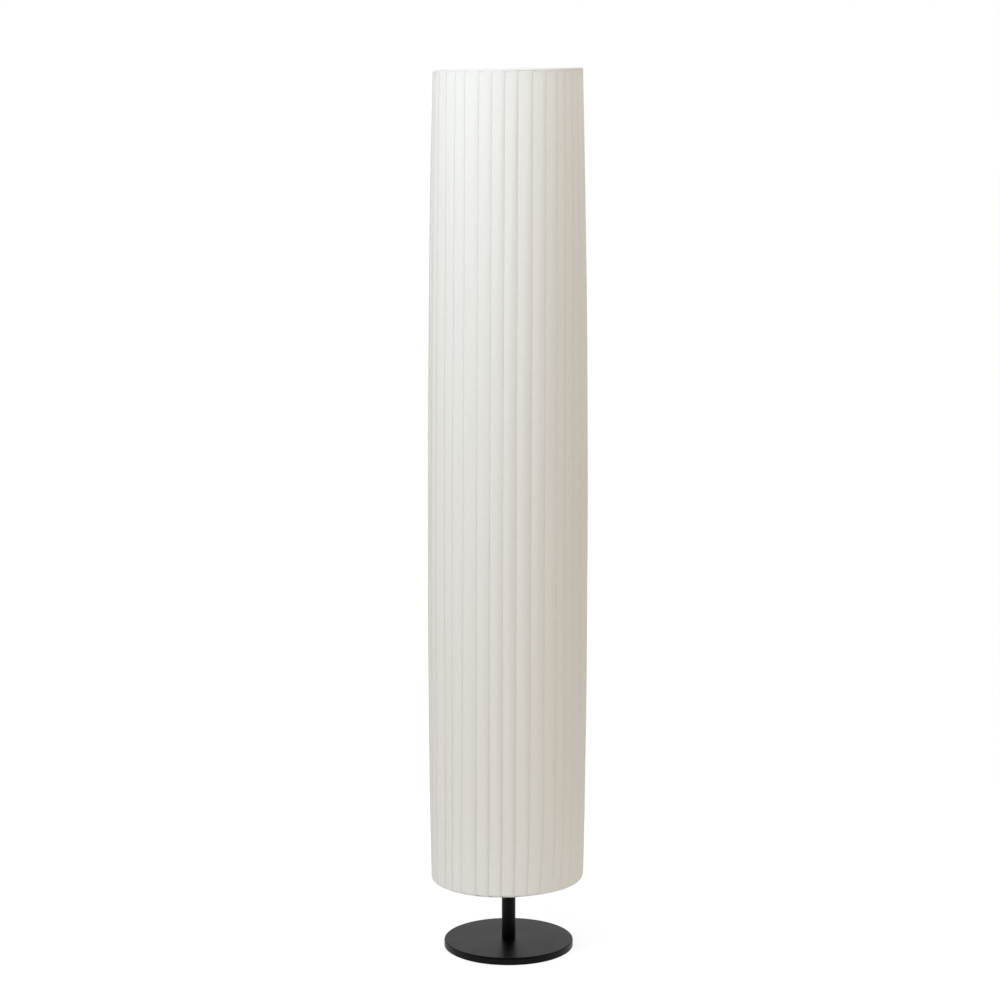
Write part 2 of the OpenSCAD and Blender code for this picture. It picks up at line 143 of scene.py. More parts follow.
def feed(tree, source, target):
    """Gives an input socket its source: an output socket, a number or a colour."""
    if isinstance(source, bpy.types.NodeSocket):
        tree.links.new(source, target)
    elif isinstance(source, tuple):
        target.default_value = (*source, 1.0)
    else:
        target.default_value = source


def calculate(tree, operation, *operands):
    """The output of one Math node. Each operand is a number or a socket."""
    node = add_node(tree, "ShaderNodeMath", operation=operation)
    for socket, operand in zip(node.inputs, operands):
        feed(tree, operand, socket)
    return node.outputs[0]


def ease(tree, value, start, end, high=1.0):
    """0 where value is at start, high where it is at end, and a smooth step between them."""
    step = add_node(tree, "ShaderNodeMapRange", interpolation_type="SMOOTHSTEP",
                    From_Min=start, From_Max=end, To_Max=high)
    feed(tree, value, step.inputs["Value"])
    return step.outputs["Result"]


def axis_of(tree, place, axis):
    """One coordinate of a place."""
    split = add_node(tree, "ShaderNodeSeparateXYZ")
    feed(tree, place, split.inputs[0])
    return split.outputs[axis]


def scale_colour(tree, colour, amount):
    """A colour made lighter or darker by a factor."""
    tint = add_node(tree, "ShaderNodeVectorMath", operation="SCALE")
    feed(tree, colour, tint.inputs[0])
    feed(tree, amount, tint.inputs["Scale"])
    return tint.outputs[0]


def blend_colours(tree, blend, factor, first, second):
    """The first colour where factor is 0, and its blend with the second where factor is 1."""
    mix = add_node(tree, "ShaderNodeMix", data_type="RGBA", blend_type=blend)
    for index, source in ((0, factor), (6, first), (7, second)):    # the sockets that colours use
        feed(tree, source, mix.inputs[index])
    return mix.outputs[2]


def mix_shaders(tree, factor, first, second):
    """The first shader where factor is 0, and the second where it is 1."""
    mix = add_node(tree, "ShaderNodeMixShader")
    for socket, source in zip(mix.inputs, (factor, first, second)):
        feed(tree, source, socket)
    return mix.outputs[0]


def add_noise(tree, place, scale, detail, roughness):
    """The value of a noise texture at a place."""
    noise = add_node(tree, "ShaderNodeTexNoise", Detail=detail, Roughness=roughness)
    feed(tree, place, noise.inputs["Vector"])
    feed(tree, scale, noise.inputs["Scale"])
    return noise.outputs["Fac"]


def add_bump(tree, height, distance):
    """The normal that a height gives, with the height's full range in millimetres."""
    bump = add_node(tree, "ShaderNodeBump", Distance=distance * MM, Strength=1.0)
    feed(tree, height, bump.inputs["Height"])
    return bump.outputs["Normal"]


# %% Helpers for materials and groups
def new_material(name):
    """A material with one Principled shader, that shader, and the output that it feeds."""
    material = bpy.data.materials.new(name)
    tree = empty_tree(material)
    out = add_node(tree, "ShaderNodeOutputMaterial")
    shader = add_node(tree, "ShaderNodeBsdfPrincipled")
    feed(tree, shader.outputs["BSDF"], out.inputs["Surface"])
    return material, shader, out


def new_group(name, inputs, outputs):
    """A shader node group. inputs are (name, kind, value), outputs are (name, kind)."""
    group = bpy.data.node_groups.new(name, "ShaderNodeTree")
    for label, kind, value in inputs:
        socket = group.interface.new_socket(label, in_out="INPUT", socket_type=kind)
        socket.default_value = value
    for label, kind in outputs:
        group.interface.new_socket(label, in_out="OUTPUT", socket_type=kind)
    start = add_node(group, "NodeGroupInput")
    end = add_node(group, "NodeGroupOutput")
    return group, start.outputs, end.inputs


# %% [markdown]
# ## Surface effects that several finishes share
#
# A surface is never one flat value. Paint has a fine orange peel, plated steel has cloudy patches, and cloth
# has its threads. Each effect is a node group with named inputs, built once here and placed in each material
# with its own values. The groups put out only colours, masks and heights. The shader itself stays in the
# material.

# %% Group: speckle, a fine grain with a slow cloudiness over it
VALUE, COLOUR = "NodeSocketFloat", "NodeSocketColor"


def make_speckle_group():
    group, start, end = new_group(
        "speckle",
        [("Colour", COLOUR, (0.5, 0.5, 0.5, 1.0)), ("Roughness", VALUE, 0.5),
         ("Grain per metre", VALUE, 2000.0), ("Cloud per metre", VALUE, 30.0),
         ("Colour change", VALUE, 0.1), ("Roughness change", VALUE, 0.1)],
        [("Colour", COLOUR), ("Roughness", VALUE), ("Height", VALUE)],
    )
    place = add_node(group, "ShaderNodeTexCoord").outputs["Object"]
    grain = add_noise(group, place, start["Grain per metre"], detail=2.0, roughness=0.6)
    cloud = add_noise(group, place, start["Cloud per metre"], detail=3.0, roughness=0.55)
    centred = calculate(group, "SUBTRACT", calculate(group, "ADD", grain, cloud), 1.0)
    shade = calculate(group, "MULTIPLY_ADD", centred, start["Colour change"], 1.0)
    rough = calculate(group, "MULTIPLY_ADD", centred, start["Roughness change"], start["Roughness"])
    feed(group, scale_colour(group, start["Colour"], shade), end["Colour"])
    feed(group, rough, end["Roughness"])
    feed(group, grain, end["Height"])
    return group


speckle_group = make_speckle_group()
print("made group", speckle_group.name)

# %% Group: weave, a plain weave wrapped round the shade's axis
SLUBS_ROUND, SLUBS_UP = 700.0, 90.0     # slubs per metre round the shade and up it: they are long and thin
GRAINS = 800.0                          # spots of the cloth's fine unevenness per metre


def make_weave_group():
    group, start, end = new_group(
        "weave",
        [("Colour", COLOUR, (0.8, 0.8, 0.8, 1.0)), ("Threads per metre", VALUE, 2200.0),
         ("Radius", VALUE, 0.106), ("Thread shade", VALUE, 0.06), ("Slub shade", VALUE, 0.03),
         ("Grain shade", VALUE, 0.16)],
        [("Colour", COLOUR), ("Height", VALUE)],
    )
    place = add_node(group, "ShaderNodeTexCoord").outputs["Object"]
    up = axis_of(group, place, "Z")
    turn = calculate(group, "ARCTAN2", axis_of(group, place, "Y"), axis_of(group, place, "X"))
    across = calculate(group, "MULTIPLY", turn, start["Radius"])
    pitch = calculate(group, "MULTIPLY", start["Threads per metre"], 2 * math.pi)
    warp = calculate(group, "SINE", calculate(group, "MULTIPLY", across, pitch))
    weft = calculate(group, "SINE", calculate(group, "MULTIPLY", up, pitch))
    threads = calculate(group, "MULTIPLY_ADD", calculate(group, "MULTIPLY", warp, weft), 0.5, 0.5)

    stretched = add_node(group, "ShaderNodeCombineXYZ")
    feed(group, calculate(group, "MULTIPLY", across, SLUBS_ROUND), stretched.inputs["X"])
    feed(group, calculate(group, "MULTIPLY", up, SLUBS_UP), stretched.inputs["Y"])
    slub = add_noise(group, stretched.outputs[0], 1.0, detail=3.0, roughness=0.6)
    grain = add_noise(group, place, GRAINS, detail=2.0, roughness=0.6)

    shade = 1.0
    for height, amount in ((threads, "Thread shade"), (slub, "Slub shade"), (grain, "Grain shade")):
        centred = calculate(group, "SUBTRACT", height, 0.5)
        shade = calculate(group, "ADD", calculate(group, "MULTIPLY", centred, start[amount]), shade)
    feed(group, scale_colour(group, start["Colour"], shade), end["Colour"])
    feed(group, threads, end["Height"])
    return group


weave_group = make_weave_group()
print("made group", weave_group.name)

# %% [markdown]
# ## Finishes
#
# The photograph shows two: white pressed cloth, and a black powder coat that is nearly matt face on and
# greyer where it is seen at a flat angle. The rest, inside the shade, are what lamp fittings are made of:
# zinc-plated steel, brass, porcelain, black phenolic, white enamel and opal plastic.

# %% Finish: hard surfaces made with the speckle group
def make_hard(name, colour, roughness, metallic=0.0, ior=1.45, grain=2000.0, cloud=30.0,
              colour_change=0.12, roughness_change=0.1, bump=0.01, coat=0.0):
    """A hard surface. grain and cloud are counted per metre, and bump is the grain's height in mm."""
    material, shader, _ = new_material(name)
    tree = material.node_tree
    look = add_node(tree, "ShaderNodeGroup", node_tree=speckle_group, Colour=(*colour, 1.0),
                    Roughness=roughness, Grain_per_metre=grain, Cloud_per_metre=cloud,
                    Colour_change=colour_change, Roughness_change=roughness_change).outputs
    feed(tree, look["Colour"], shader.inputs["Base Color"])
    feed(tree, look["Roughness"], shader.inputs["Roughness"])
    feed(tree, add_bump(tree, look["Height"], bump), shader.inputs["Normal"])
    set_values(shader, Metallic=metallic, IOR=ior, Coat_Weight=coat)
    return material


HARD_FINISHES = {
    "black_powder_coat": dict(colour=(0.0016, 0.0014, 0.0014), roughness=0.38, ior=1.215, grain=1800.0,
                              cloud=25.0, colour_change=0.35, bump=0.04),
    "zinc_plated_steel": dict(colour=(0.62, 0.63, 0.65), roughness=0.34, metallic=1.0, grain=900.0,
                              cloud=60.0, roughness_change=0.25),
    "brass": dict(colour=(0.74, 0.55, 0.26), roughness=0.3, metallic=1.0, grain=1200.0),
    "white_enamel": dict(colour=(0.8, 0.8, 0.78), roughness=0.35, grain=700.0, bump=0.02, coat=0.2),
    "pad_foam": dict(colour=(0.03, 0.03, 0.03), roughness=0.9, grain=3500.0, colour_change=0.6, bump=0.2),
    "black_plastic": dict(colour=(0.02, 0.02, 0.021), roughness=0.35, grain=1500.0, bump=0.02),
    "porcelain": dict(colour=(0.84, 0.83, 0.79), roughness=0.15, ior=1.5, coat=0.6),
    "bulb_cap_metal": dict(colour=(0.7, 0.69, 0.66), roughness=0.25, metallic=1.0),
    "white_plastic": dict(colour=(0.84, 0.84, 0.82), roughness=0.3),
    "opal_plastic": dict(colour=(0.88, 0.88, 0.86), roughness=0.45),
    "cable_sheath": dict(colour=(0.75, 0.75, 0.72), roughness=0.5, bump=0.03),
}
finishes = {name: make_hard(name, **look) for name, look in HARD_FINISHES.items()}
print("hard finishes:", len(finishes))

# %% [markdown]
# ## The cloth's finish
#
# The shade's cloth is a fine polyester, thin enough that light comes through it, with a soft matt face. Two
# shaders stand for that: a rough one with a little sheen for the light that the threads throw back, and a
# translucent one for the light that passes between them, which comes out a little warmer. Inside the tucks
# light meets cloth again and again, and grows warmer and dimmer each time; that shade is painted onto the
# pressed layers there as a warm darkening. The mesh says where they are, in an attribute called tuck.

# %% Finish: pleated cloth
CLOTH_COLOUR = (0.9, 0.89, 0.865)
LIGHT_THROUGH = (0.9, 0.885, 0.855)
# painted warm shade: the cloth's colours are multiplied by it in the tucks
TUCK_PAINTED_SHADE = (0.955, 0.92, 0.865)
CLOTH_THROUGH = 0.12            # share of the light that passes through
THREAD_HEIGHT = 0.02            # mm


def make_cloth():
    material, shader, out = new_material("pleated_cloth")
    tree = material.node_tree
    tuck = add_node(tree, "ShaderNodeAttribute", attribute_name="tuck").outputs["Fac"]
    weave = add_node(tree, "ShaderNodeGroup", node_tree=weave_group, Colour=(*CLOTH_COLOUR, 1.0)).outputs
    glow = add_node(tree, "ShaderNodeGroup", node_tree=weave_group, Colour=(*LIGHT_THROUGH, 1.0)).outputs
    normal = add_bump(tree, weave["Height"], THREAD_HEIGHT)
    through = add_node(tree, "ShaderNodeBsdfTranslucent")
    # both the reflected and the passing light get the painted warm shade where the tuck attribute is 1
    for colour, side, colour_socket in ((weave["Colour"], shader, "Base Color"),
                                        (glow["Colour"], through, "Color")):
        tuck_shaded = blend_colours(tree, "MULTIPLY", tuck, colour, TUCK_PAINTED_SHADE)
        feed(tree, tuck_shaded, side.inputs[colour_socket])
        feed(tree, normal, side.inputs["Normal"])
    set_values(shader, Roughness=0.85, Specular_IOR_Level=0.25, Sheen_Weight=0.15, Sheen_Roughness=0.5)
    both = mix_shaders(tree, CLOTH_THROUGH, shader.outputs["BSDF"], through.outputs["BSDF"])
    feed(tree, both, out.inputs["Surface"])
    return material


pleated_cloth = make_cloth()
finishes["pleated_cloth"] = pleated_cloth
print("made", pleated_cloth.name)

# %% [markdown]
# ## The pleated cloth
#
# In a knife pleat the sheet comes out from under the fold on its left, runs to the right as the visible
# face, folds back on itself, and returns a few millimetres below before it sets off again as the next face.
# So each pleat is a flat letter S seen from above. The path of one pleat is written once, as distances along
# the face and depths below it, and then laid round the shade 36 times. Pressed flat at the rims, the folds
# relax towards mid height: they grow deeper and rounder, and the whole column swells. A cloth simulation
# would wander from the photograph's even folds, so the rules that the cloth follows are written out instead,
# with a little unevenness for each pleat.
#
# Heights along the sleeve are given as t, which is -1 at the lower ring, 0 half way up and 1 at the upper
# ring.

# %% Sizes of the shade, from the frame
ring_low, ring_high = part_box("bottom_ring"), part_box("top_ring")
WIRE_R = (ring_low[1][2] - ring_low[0][2]) / 2
LOW_RING_R = (ring_low[1][0] - ring_low[0][0]) / 2 - WIRE_R
HIGH_RING_R = (ring_high[1][0] - ring_high[0][0]) / 2 - WIRE_R
LOW_RING_Z = (ring_low[0][2] + ring_low[1][2]) / 2
HIGH_RING_Z = (ring_high[0][2] + ring_high[1][2]) / 2
MIDDLE_Z = (LOW_RING_Z + HIGH_RING_Z) / 2
HALF_H = (HIGH_RING_Z - LOW_RING_Z) / 2
LOW, HIGH = -1.0, 1.0                   # the two ends, as t
RINGS = {LOW: (LOW_RING_R, LOW_RING_Z), HIGH: (HIGH_RING_R, HIGH_RING_Z)}
print("rings, mm:", [round(v / MM, 2) for v in (LOW_RING_R, HIGH_RING_R, LOW_RING_Z, HIGH_RING_Z)])

# %% How the column swells, and how its rims lie
MIDDLE_R = 107.9 * MM           # radius over the folds at mid height
NARROWING = 1.75 * MM           # the column loses this much from there to its top, and gains it below
UPPER_FALL, UPPER_POWER = 6.83 * MM, 2.0    # how the swell falls off above the middle
LOWER_FALL, LOWER_POWER = 5.02 * MM, 2.9    # and below it
LOW_RIM_SLOPE = math.tan(math.radians(1.71))    # the cloth's rims aren't quite level:
HIGH_RIM_SLOPE = math.tan(math.radians(0.94))   # both rise towards +X
HIGH_LEAN, LOW_LEAN = 0.9 * MM, 1.6 * MM        # and the cloth hangs a little towards -X
RIM_POWER = 3                                   # how fast slope and lean change away from a rim


def crest_radius(t):
    """Radius over the folds at height t."""
    fall, power = (UPPER_FALL, UPPER_POWER) if t > 0 else (LOWER_FALL, LOWER_POWER)
    return MIDDLE_R - NARROWING * t - fall * abs(t) ** power


def rim_rise(x, t):
    """How much higher the cloth lies at x and height t than a level one would."""
    low_share, high_share = ((1 - t) / 2) ** RIM_POWER, ((1 + t) / 2) ** RIM_POWER
    return x * (LOW_RIM_SLOPE * low_share + HIGH_RIM_SLOPE * high_share)


def row_points(radii, angles, z, t, held=0.0):
    """The points of a row. Where a ring holds the cloth, it can't lean: held is 1 there."""
    lean = HIGH_LEAN + (LOW_LEAN - HIGH_LEAN) * ((1 - t) / 2) ** RIM_POWER
    x, y = radii * np.cos(angles) - lean * (1 - held), radii * np.sin(angles)
    return np.column_stack([x, y, z + rim_rise(x, t)])


# %% Where the folds lie round the shade
PLEATS = 36
FRONT = -90.0                   # angle that faces the camera
# Angles of the folds round the front, from left to right, near the lower rim, at mid height and near the
# upper rim. The cloth was gathered by hand, so they are a degree or two off an even spacing.
FOLD_HEIGHTS = (-0.809, -0.016, 0.91)
FRONT_FOLDS = (
    (-54.8, -45.5, -35.6, -23.9, -13.7, -3.9, 5.9, 16.3, 27.2, 37.7, 45.6, 55.1, 66.9),
    (-51.7, -43.1, -33.3, -22.6, -12.9, -3.5, 6.0, 16.6, 26.6, 36.6, 45.1, 54.2, 65.5),
    (-53.5, -43.3, -33.9, -22.0, -12.0, -2.4, 7.4, 18.5, 29.2, 39.8, 47.8, 57.2, 66.5),
)
REST = PLEATS - len(FRONT_FOLDS[0])     # the folds behind, spread evenly but for a seeded unevenness:
OFF_PLACE, OFF_LINE = 0.9, 0.8          # degrees off their place, and off it again at each height
rng = np.random.default_rng(36)
off_place = rng.uniform(-OFF_PLACE, OFF_PLACE, REST)
off_line = rng.uniform(-OFF_LINE, OFF_LINE, (len(FOLD_HEIGHTS), REST))
# In the last few centimetres above the lower rim the folds on the right lean back to the left
RIM_LEAN = (0.4, 0.2, 0.0, 0.0, -0.4, -0.9, -1.2, -1.7, -2.8, -3.4, -3.4, -3.0, -2.0)
RIM_LEAN_FROM, RIM_LEAN_SPAN, RIM_LEAN_POWER = -0.81, 0.19, 1.5
rim_lean = np.concatenate([RIM_LEAN, np.zeros(REST)])


def all_folds(front_folds, drift):
    """Angles of all the folds at one height: those at the front as given, and the rest behind."""
    span = 360.0 - (front_folds[-1] - front_folds[0])
    behind = front_folds[-1] + span * np.arange(1, REST + 1) / (REST + 1)
    return FRONT + np.concatenate([front_folds, behind + drift])


fold_rows = [all_folds(folds, off_place + off_line[i]) for i, folds in enumerate(FRONT_FOLDS)]
fold_curves = np.polyfit(FOLD_HEIGHTS, fold_rows, 2)    # each fold's angle, as a curve over the height


def fold_angles(t):
    """Angle of every fold at height t, in degrees."""
    near_rim = max((RIM_LEAN_FROM - t) / RIM_LEAN_SPAN, 0.0) ** RIM_LEAN_POWER
    return fold_curves[0] * t * t + fold_curves[1] * t + fold_curves[2] + rim_lean * near_rim


print("pleats:", PLEATS, "width at mid height, mm:", round(2 * math.pi * MIDDLE_R / PLEATS / MM, 1))

# %% How soft each pleat is
LEAST_PUFF, MOST_PUFF = 0.75, 1.2
puff = rng.uniform(LEAST_PUFF, MOST_PUFF, PLEATS)       # how far each face has relaxed
# How softly the cloth rolls over each fold, at the same three heights: the folds in the middle of the front
# are the softest, and those beside them are pressed nearly flat
FRONT_ROLLS = (
    (2.9, 1.8, 0.8, 2.6, 2.2, 2.1, 1.8, 0.8, 0.38, 0.25, 0.1, 0.25, 0.25),
    (0.15, 0.1, 0.45, 0.45, 0.8, 1.3, 1.8, 1.25, 0.3, 0.1, 0.4, 0.6, 0.5),
    (1.0, 1.1, 0.5, 0.8, 0.7, 1.6, 1.5, 0.75, 0.12, 0.0, 0.0, 0.35, 0.4),
)
LEAST_SOFT, MOST_SOFT = 0.4, 1.0
EDGE_FOLDS, EDGE_SOFT = 3, 0.1                          # the last ones, at the left edge, are pressed flat
back_softness = rng.uniform(LEAST_SOFT, MOST_SOFT, REST)
back_softness[-EDGE_FOLDS:] = EDGE_SOFT
sag_phase = rng.uniform(0.0, 2 * math.pi, (PLEATS, 2))


def fold_softness(t):
    """How soft each fold is at height t."""
    front = [np.interp(t, FOLD_HEIGHTS, column) for column in zip(*FRONT_ROLLS)]
    return np.concatenate([front, back_softness])


print("softest fold at mid height:", round(float(fold_softness(0.0).max()), 2))

# %% The path of one pleat
UNDERLAP = 5.0 * MM             # how far the cloth tucks in under each fold
TURN_STEPS = (90, 45, 0, -45, -90)
FACE_STEPS = (0.0, 0.03, 0.07, 0.12, 0.18, 0.28, 0.4, 0.53, 0.66, 0.76, 0.83, 0.88, 0.925, 0.965)
FOLD_STEPS = (90, 60, 30, 0, -30, -60, -90)
FOLD_R, TURN_R, TUCK_GAP = 0.08 * MM, 0.06 * MM, 0.03 * MM
ROLL, ROLL_TILT, ROLL_CRISP, CRISP_POWER = 1.02, 0.25, 0.55, 10
# Shares of a pressed face's width at which it has risen to its full height, and at which it starts to roll
# over its fold. On a relaxed face both come sooner.
RISE_TO, RISE_SOONER, RISE_POWER = 0.92, 0.5, 1.2
ROLL_FROM, ROLL_SOONER, ROLL_POWER = 0.84, 0.44, 2
TUCK_SHADE_FADE = 0.06                # and at which the tuck's painted warm shade has faded out


def roll_depth(t, soft):
    """How far the face drops where it rolls over its fold: least at the rims, where the fold is crisp."""
    return (ROLL - ROLL_TILT * t - ROLL_CRISP * t ** CRISP_POWER) * soft * MM


def pleat_path(width, start, roll, relaxed):
    """(distance along the face, depth under it, tuck) of one pleat's points. start is the depth at which
    the face comes out from under the fold on its left. tuck is 1 for hidden cloth, and sets its painted warm
    shade."""
    rise_to, roll_from = RISE_TO - RISE_SOONER * relaxed, ROLL_FROM - ROLL_SOONER * relaxed
    path = []
    for angle in TURN_STEPS:
        a = math.radians(angle)
        path.append((-UNDERLAP - TURN_R * math.cos(a), start - TURN_R * (1 + math.sin(a)), 1.0))
    for share in FACE_STEPS:
        rise = max(1 - share / rise_to, 0.0) ** RISE_POWER
        drop = max((share - roll_from) / (1 - roll_from), 0.0) ** ROLL_POWER
        path.append((share * (width - FOLD_R), start * rise + roll * drop, max(1 - share / TUCK_SHADE_FADE, 0.0)))
    for angle in FOLD_STEPS:
        a = math.radians(angle)
        path.append((width - FOLD_R + FOLD_R * math.cos(a), roll + FOLD_R * (1 - math.sin(a)),
                     min(1.0, (90 - angle) / 90)))
    return path


print("points in a pleat:", len(pleat_path(18 * MM, MM, MM, 1.0)))

# %% A row of pleats round the shade
RELAX_POWER = 2.2               # how soon the faces relax away from the rims
WANDER = 0.3 * MM               # how far a relaxed fold wanders in and out on its way up
WANDER_WAVES = (5.3, 12.7)      # in a slow wave and a quicker one, in radians per t


def ring_row(t, pressed):
    """Radii, angles and tuck values of one level row. pressed, up to 1, flattens its folds further."""
    base_r = crest_radius(t)
    folds = fold_angles(t)
    relaxed = (1 - abs(t) ** RELAX_POWER) * puff
    slow, quick = (np.sin(wave * t + sag_phase[:, i]) for i, wave in enumerate(WANDER_WAVES))
    wander = WANDER * relaxed * (slow + 0.5 * quick)
    rolls = roll_depth(t, fold_softness(t))
    points = []
    for k in range(PLEATS):
        after = (k + 1) % PLEATS
        width = math.radians((folds[after] - folds[k]) % 360.0) * base_r
        start = rolls[k] + 2 * FOLD_R + 2 * TURN_R + TUCK_GAP
        for along, depth, tuck in pleat_path(width, start, rolls[after], relaxed[after]):
            share = min(max(along / width, 0.0), 1.0)
            radius = base_r - depth * (1 - pressed) + wander[k] * (1 - share) + wander[after] * share
            points.append((radius, math.radians(folds[k]) + along / base_r, tuck))
    return np.array(points).T


# %% Wrap the ends of the cloth round the rings
WRAP_STEPS = 10
WRAP_TO = math.radians(205)
WRAP_R = 2.9 * MM               # the cloth's distance from the ring's middle line, with its hem folded in
TIGHT_AT = math.pi / 3          # by this turn the cloth lies tight round the ring
LOW_PRESS, HIGH_PRESS = 0.45, 0.75      # how much flatter the folds are pressed there
TUCK_SHADE_LOST = 0.5                 # and how much of the tuck's painted warm shade goes where they are pressed open


def tightness(turn):
    """How tight the cloth lies, from 0 to 1, where it has gone this far round a ring."""
    return min(1.0, turn / TIGHT_AT)


def points_round_ring(end, turn, reach, angles):
    """A row that has gone this far round a ring, at a distance of reach from the ring's middle line."""
    ring_r, ring_z = RINGS[end]
    return row_points(ring_r + reach * math.cos(turn), angles,
                      ring_z + end * reach * math.sin(turn), end, tightness(turn))


def wrapped_rows(end, press):
    """Rows that follow the cloth round an end ring, from its outer side to its inner side."""
    rows, tucks = [], []
    for i in range(1, WRAP_STEPS + 1):
        turn = WRAP_TO * i / WRAP_STEPS
        tight = tightness(turn)
        radii, angles, tuck = ring_row(end, press * tight)
        loose_reach = radii - RINGS[end][0]
        tight_reach = WRAP_R - (crest_radius(end) - radii)
        reach = loose_reach * (1 - tight) + tight_reach * tight
        rows.append(points_round_ring(end, turn, reach, angles))
        tucks.append(tuck * (1 - TUCK_SHADE_LOST * tight))
    return rows, tucks


low_rows, low_tucks = wrapped_rows(LOW, LOW_PRESS)
high_rows, high_tucks = wrapped_rows(HIGH, HIGH_PRESS)
print("rows round each ring:", len(low_rows))

# %% Lay the rows between the rings and make the sleeve
ROWS = 72
CROWDING = math.pi / 2 * 0.985  # rows crowd towards the rims, where the cloth bends most
levels = np.sin(np.linspace(LOW, HIGH, ROWS) * CROWDING) / math.sin(CROWDING)
flat_rows, flat_tucks = [], []
for t in levels:
    radii, angles, tuck = ring_row(t, 0.0)
    flat_rows.append(row_points(radii, angles, MIDDLE_Z + HALF_H * t, t))
    flat_tucks.append(tuck)
cloth_rows = low_rows[::-1] + flat_rows + high_rows
columns = len(cloth_rows[0])
cloth_points = np.concatenate(cloth_rows)
pleated_sleeve = add_mesh("pleated_cloth_sleeve", cloth_points,
                          ring_faces(len(cloth_rows), columns), smooth_angle=75.0)
tuck_values = pleated_sleeve.data.attributes.new("tuck", "FLOAT", "POINT")
tuck_values.data.foreach_set("value", np.concatenate(low_tucks[::-1] + flat_tucks + high_tucks))
print("cloth:", len(cloth_points), "points,", columns, "round,", len(cloth_rows), "rows")

# %% [markdown]
# ## The hem tapes
#
# A narrow tape of the same cloth is glued over each end of the sleeve, round the ring, and hides the raw
# ends of the pleats. It shows as a smooth strip, two or three millimetres high, along the upper rim, where
# the fold lines stop. At the lower rim it lies underneath, and only a thin line of it is seen from outside.
# A machine that binds lampshades rolls it on with its first edge turned under.

# %% Roll a hem tape round each ring
TAPE_T = 0.3 * MM
TAPE_COLUMNS = 288
TAPE_TURNS = 26
TAPE_END = math.radians(212)
UPPER_TAPE_START, LOWER_TAPE_START = math.radians(7), math.radians(78)
DENT = 0.1 * MM                 # how far the tape sinks in between two folds
# The edge that is turned under, as radians past the start and shares of the tape's thickness
TAPE_EDGE = ((0.09, 0.1), (0.02, 0.1), (0.0, 0.5), (0.02, 0.9), (0.05, 1.0))
EDGE_WIDTH = 0.12               # radians


def roll_tape(name, end, starts_at):
    """A tape over the cloth of one ring, from the angle starts_at outside it to TAPE_END inside it."""
    folds = np.sort(np.radians(fold_angles(end)) % (2 * math.pi))
    angles = np.linspace(0, 2 * math.pi, TAPE_COLUMNS, endpoint=False)
    between = np.interp(angles, folds, np.arange(PLEATS), period=2 * math.pi) % 1.0
    dents = DENT * np.sin(math.pi * between)
    path = [(starts_at + past, share * TAPE_T) for past, share in TAPE_EDGE]
    path += [(turn, TAPE_T) for turn in np.linspace(starts_at + EDGE_WIDTH, TAPE_END, TAPE_TURNS)]
    rows = []
    for turn, over in path:
        tight = tightness(turn)
        reach = (crest_radius(end) - RINGS[end][0]) * (1 - tight) + WRAP_R * tight + over - dents
        rows.append(points_round_ring(end, turn, reach, angles))
    tape = add_mesh(name, np.concatenate(rows), ring_faces(len(rows), TAPE_COLUMNS))
    tape.data.materials.append(pleated_cloth)
    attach(tape, "shade")
    return tape


upper_tape = roll_tape("upper_hem_tape", HIGH, UPPER_TAPE_START)
lower_tape = roll_tape("lower_hem_tape", LOW, LOWER_TAPE_START)
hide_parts("top_hem")
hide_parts("bottom_hem")
print("hem tapes, faces:", len(upper_tape.data.polygons), "each")

# %% Give the cloth its finish and attach it to the shade
pleated_sleeve.data.materials.append(pleated_cloth)
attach(pleated_sleeve, "shade")
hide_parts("pleated_sleeve")

# %% [markdown]
# ## Finishes of the exact pieces
#
# The post, the base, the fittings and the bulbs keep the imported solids' shapes, and only take a material.
# The record names each solid's material slot, and the finishes above are called after the slots.

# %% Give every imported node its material
for entry in frame["record"]["subparts"]:
    piece = frame["nodes"][entry["node"]]
    piece.data.materials.clear()
    piece.data.materials.append(finishes[entry["material_slot"]])

# %% [markdown]
# ## Floor, backdrop and light
#
# The lamp stands on white, with the faintest shadow. The floor adds a white glow for the camera's own rays,
# which lifts it to white without throwing more light on the lamp. Under the lamp lies white paper, which
# cools and lights the shade's lowest part, and beyond it the floor is warmer.
#
# The light itself is soft, as from windows on a dull day: the key comes from above on the left and falls off
# down the shade, a weaker one lies beside it at mid height, and the weakest lights the right side's top. All
# three are a little blue against the warm, even glow of the room, so the shade turns from a cool white at
# its upper left to a warm grey at its lower right.
#
# Behind the camera the studio is dark. Only reflections show it: it keeps the black post and base black.

# %% What the different rays meet
FRONT_SHARE = 0.11              # how bright the dark end of the studio is in reflections


def camera_like(tree):
    """1 for rays that the camera, a reflection or a glass surface sends, and 0 for diffuse light."""
    path = add_node(tree, "ShaderNodeLightPath").outputs
    seen = calculate(tree, "MAXIMUM", path["Is Camera Ray"], path["Is Glossy Ray"])
    return calculate(tree, "MAXIMUM", seen, path["Is Transmission Ray"])


def dim_reflections(tree, place, start, end):
    """1 for every ray, but down to FRONT_SHARE for reflections as Y goes from start to end."""
    dark = ease(tree, axis_of(tree, place, "Y"), start, end, 1 - FRONT_SHARE)
    path = add_node(tree, "ShaderNodeLightPath").outputs
    return calculate(tree, "SUBTRACT", 1.0, calculate(tree, "MULTIPLY", dark, path["Is Glossy Ray"]))


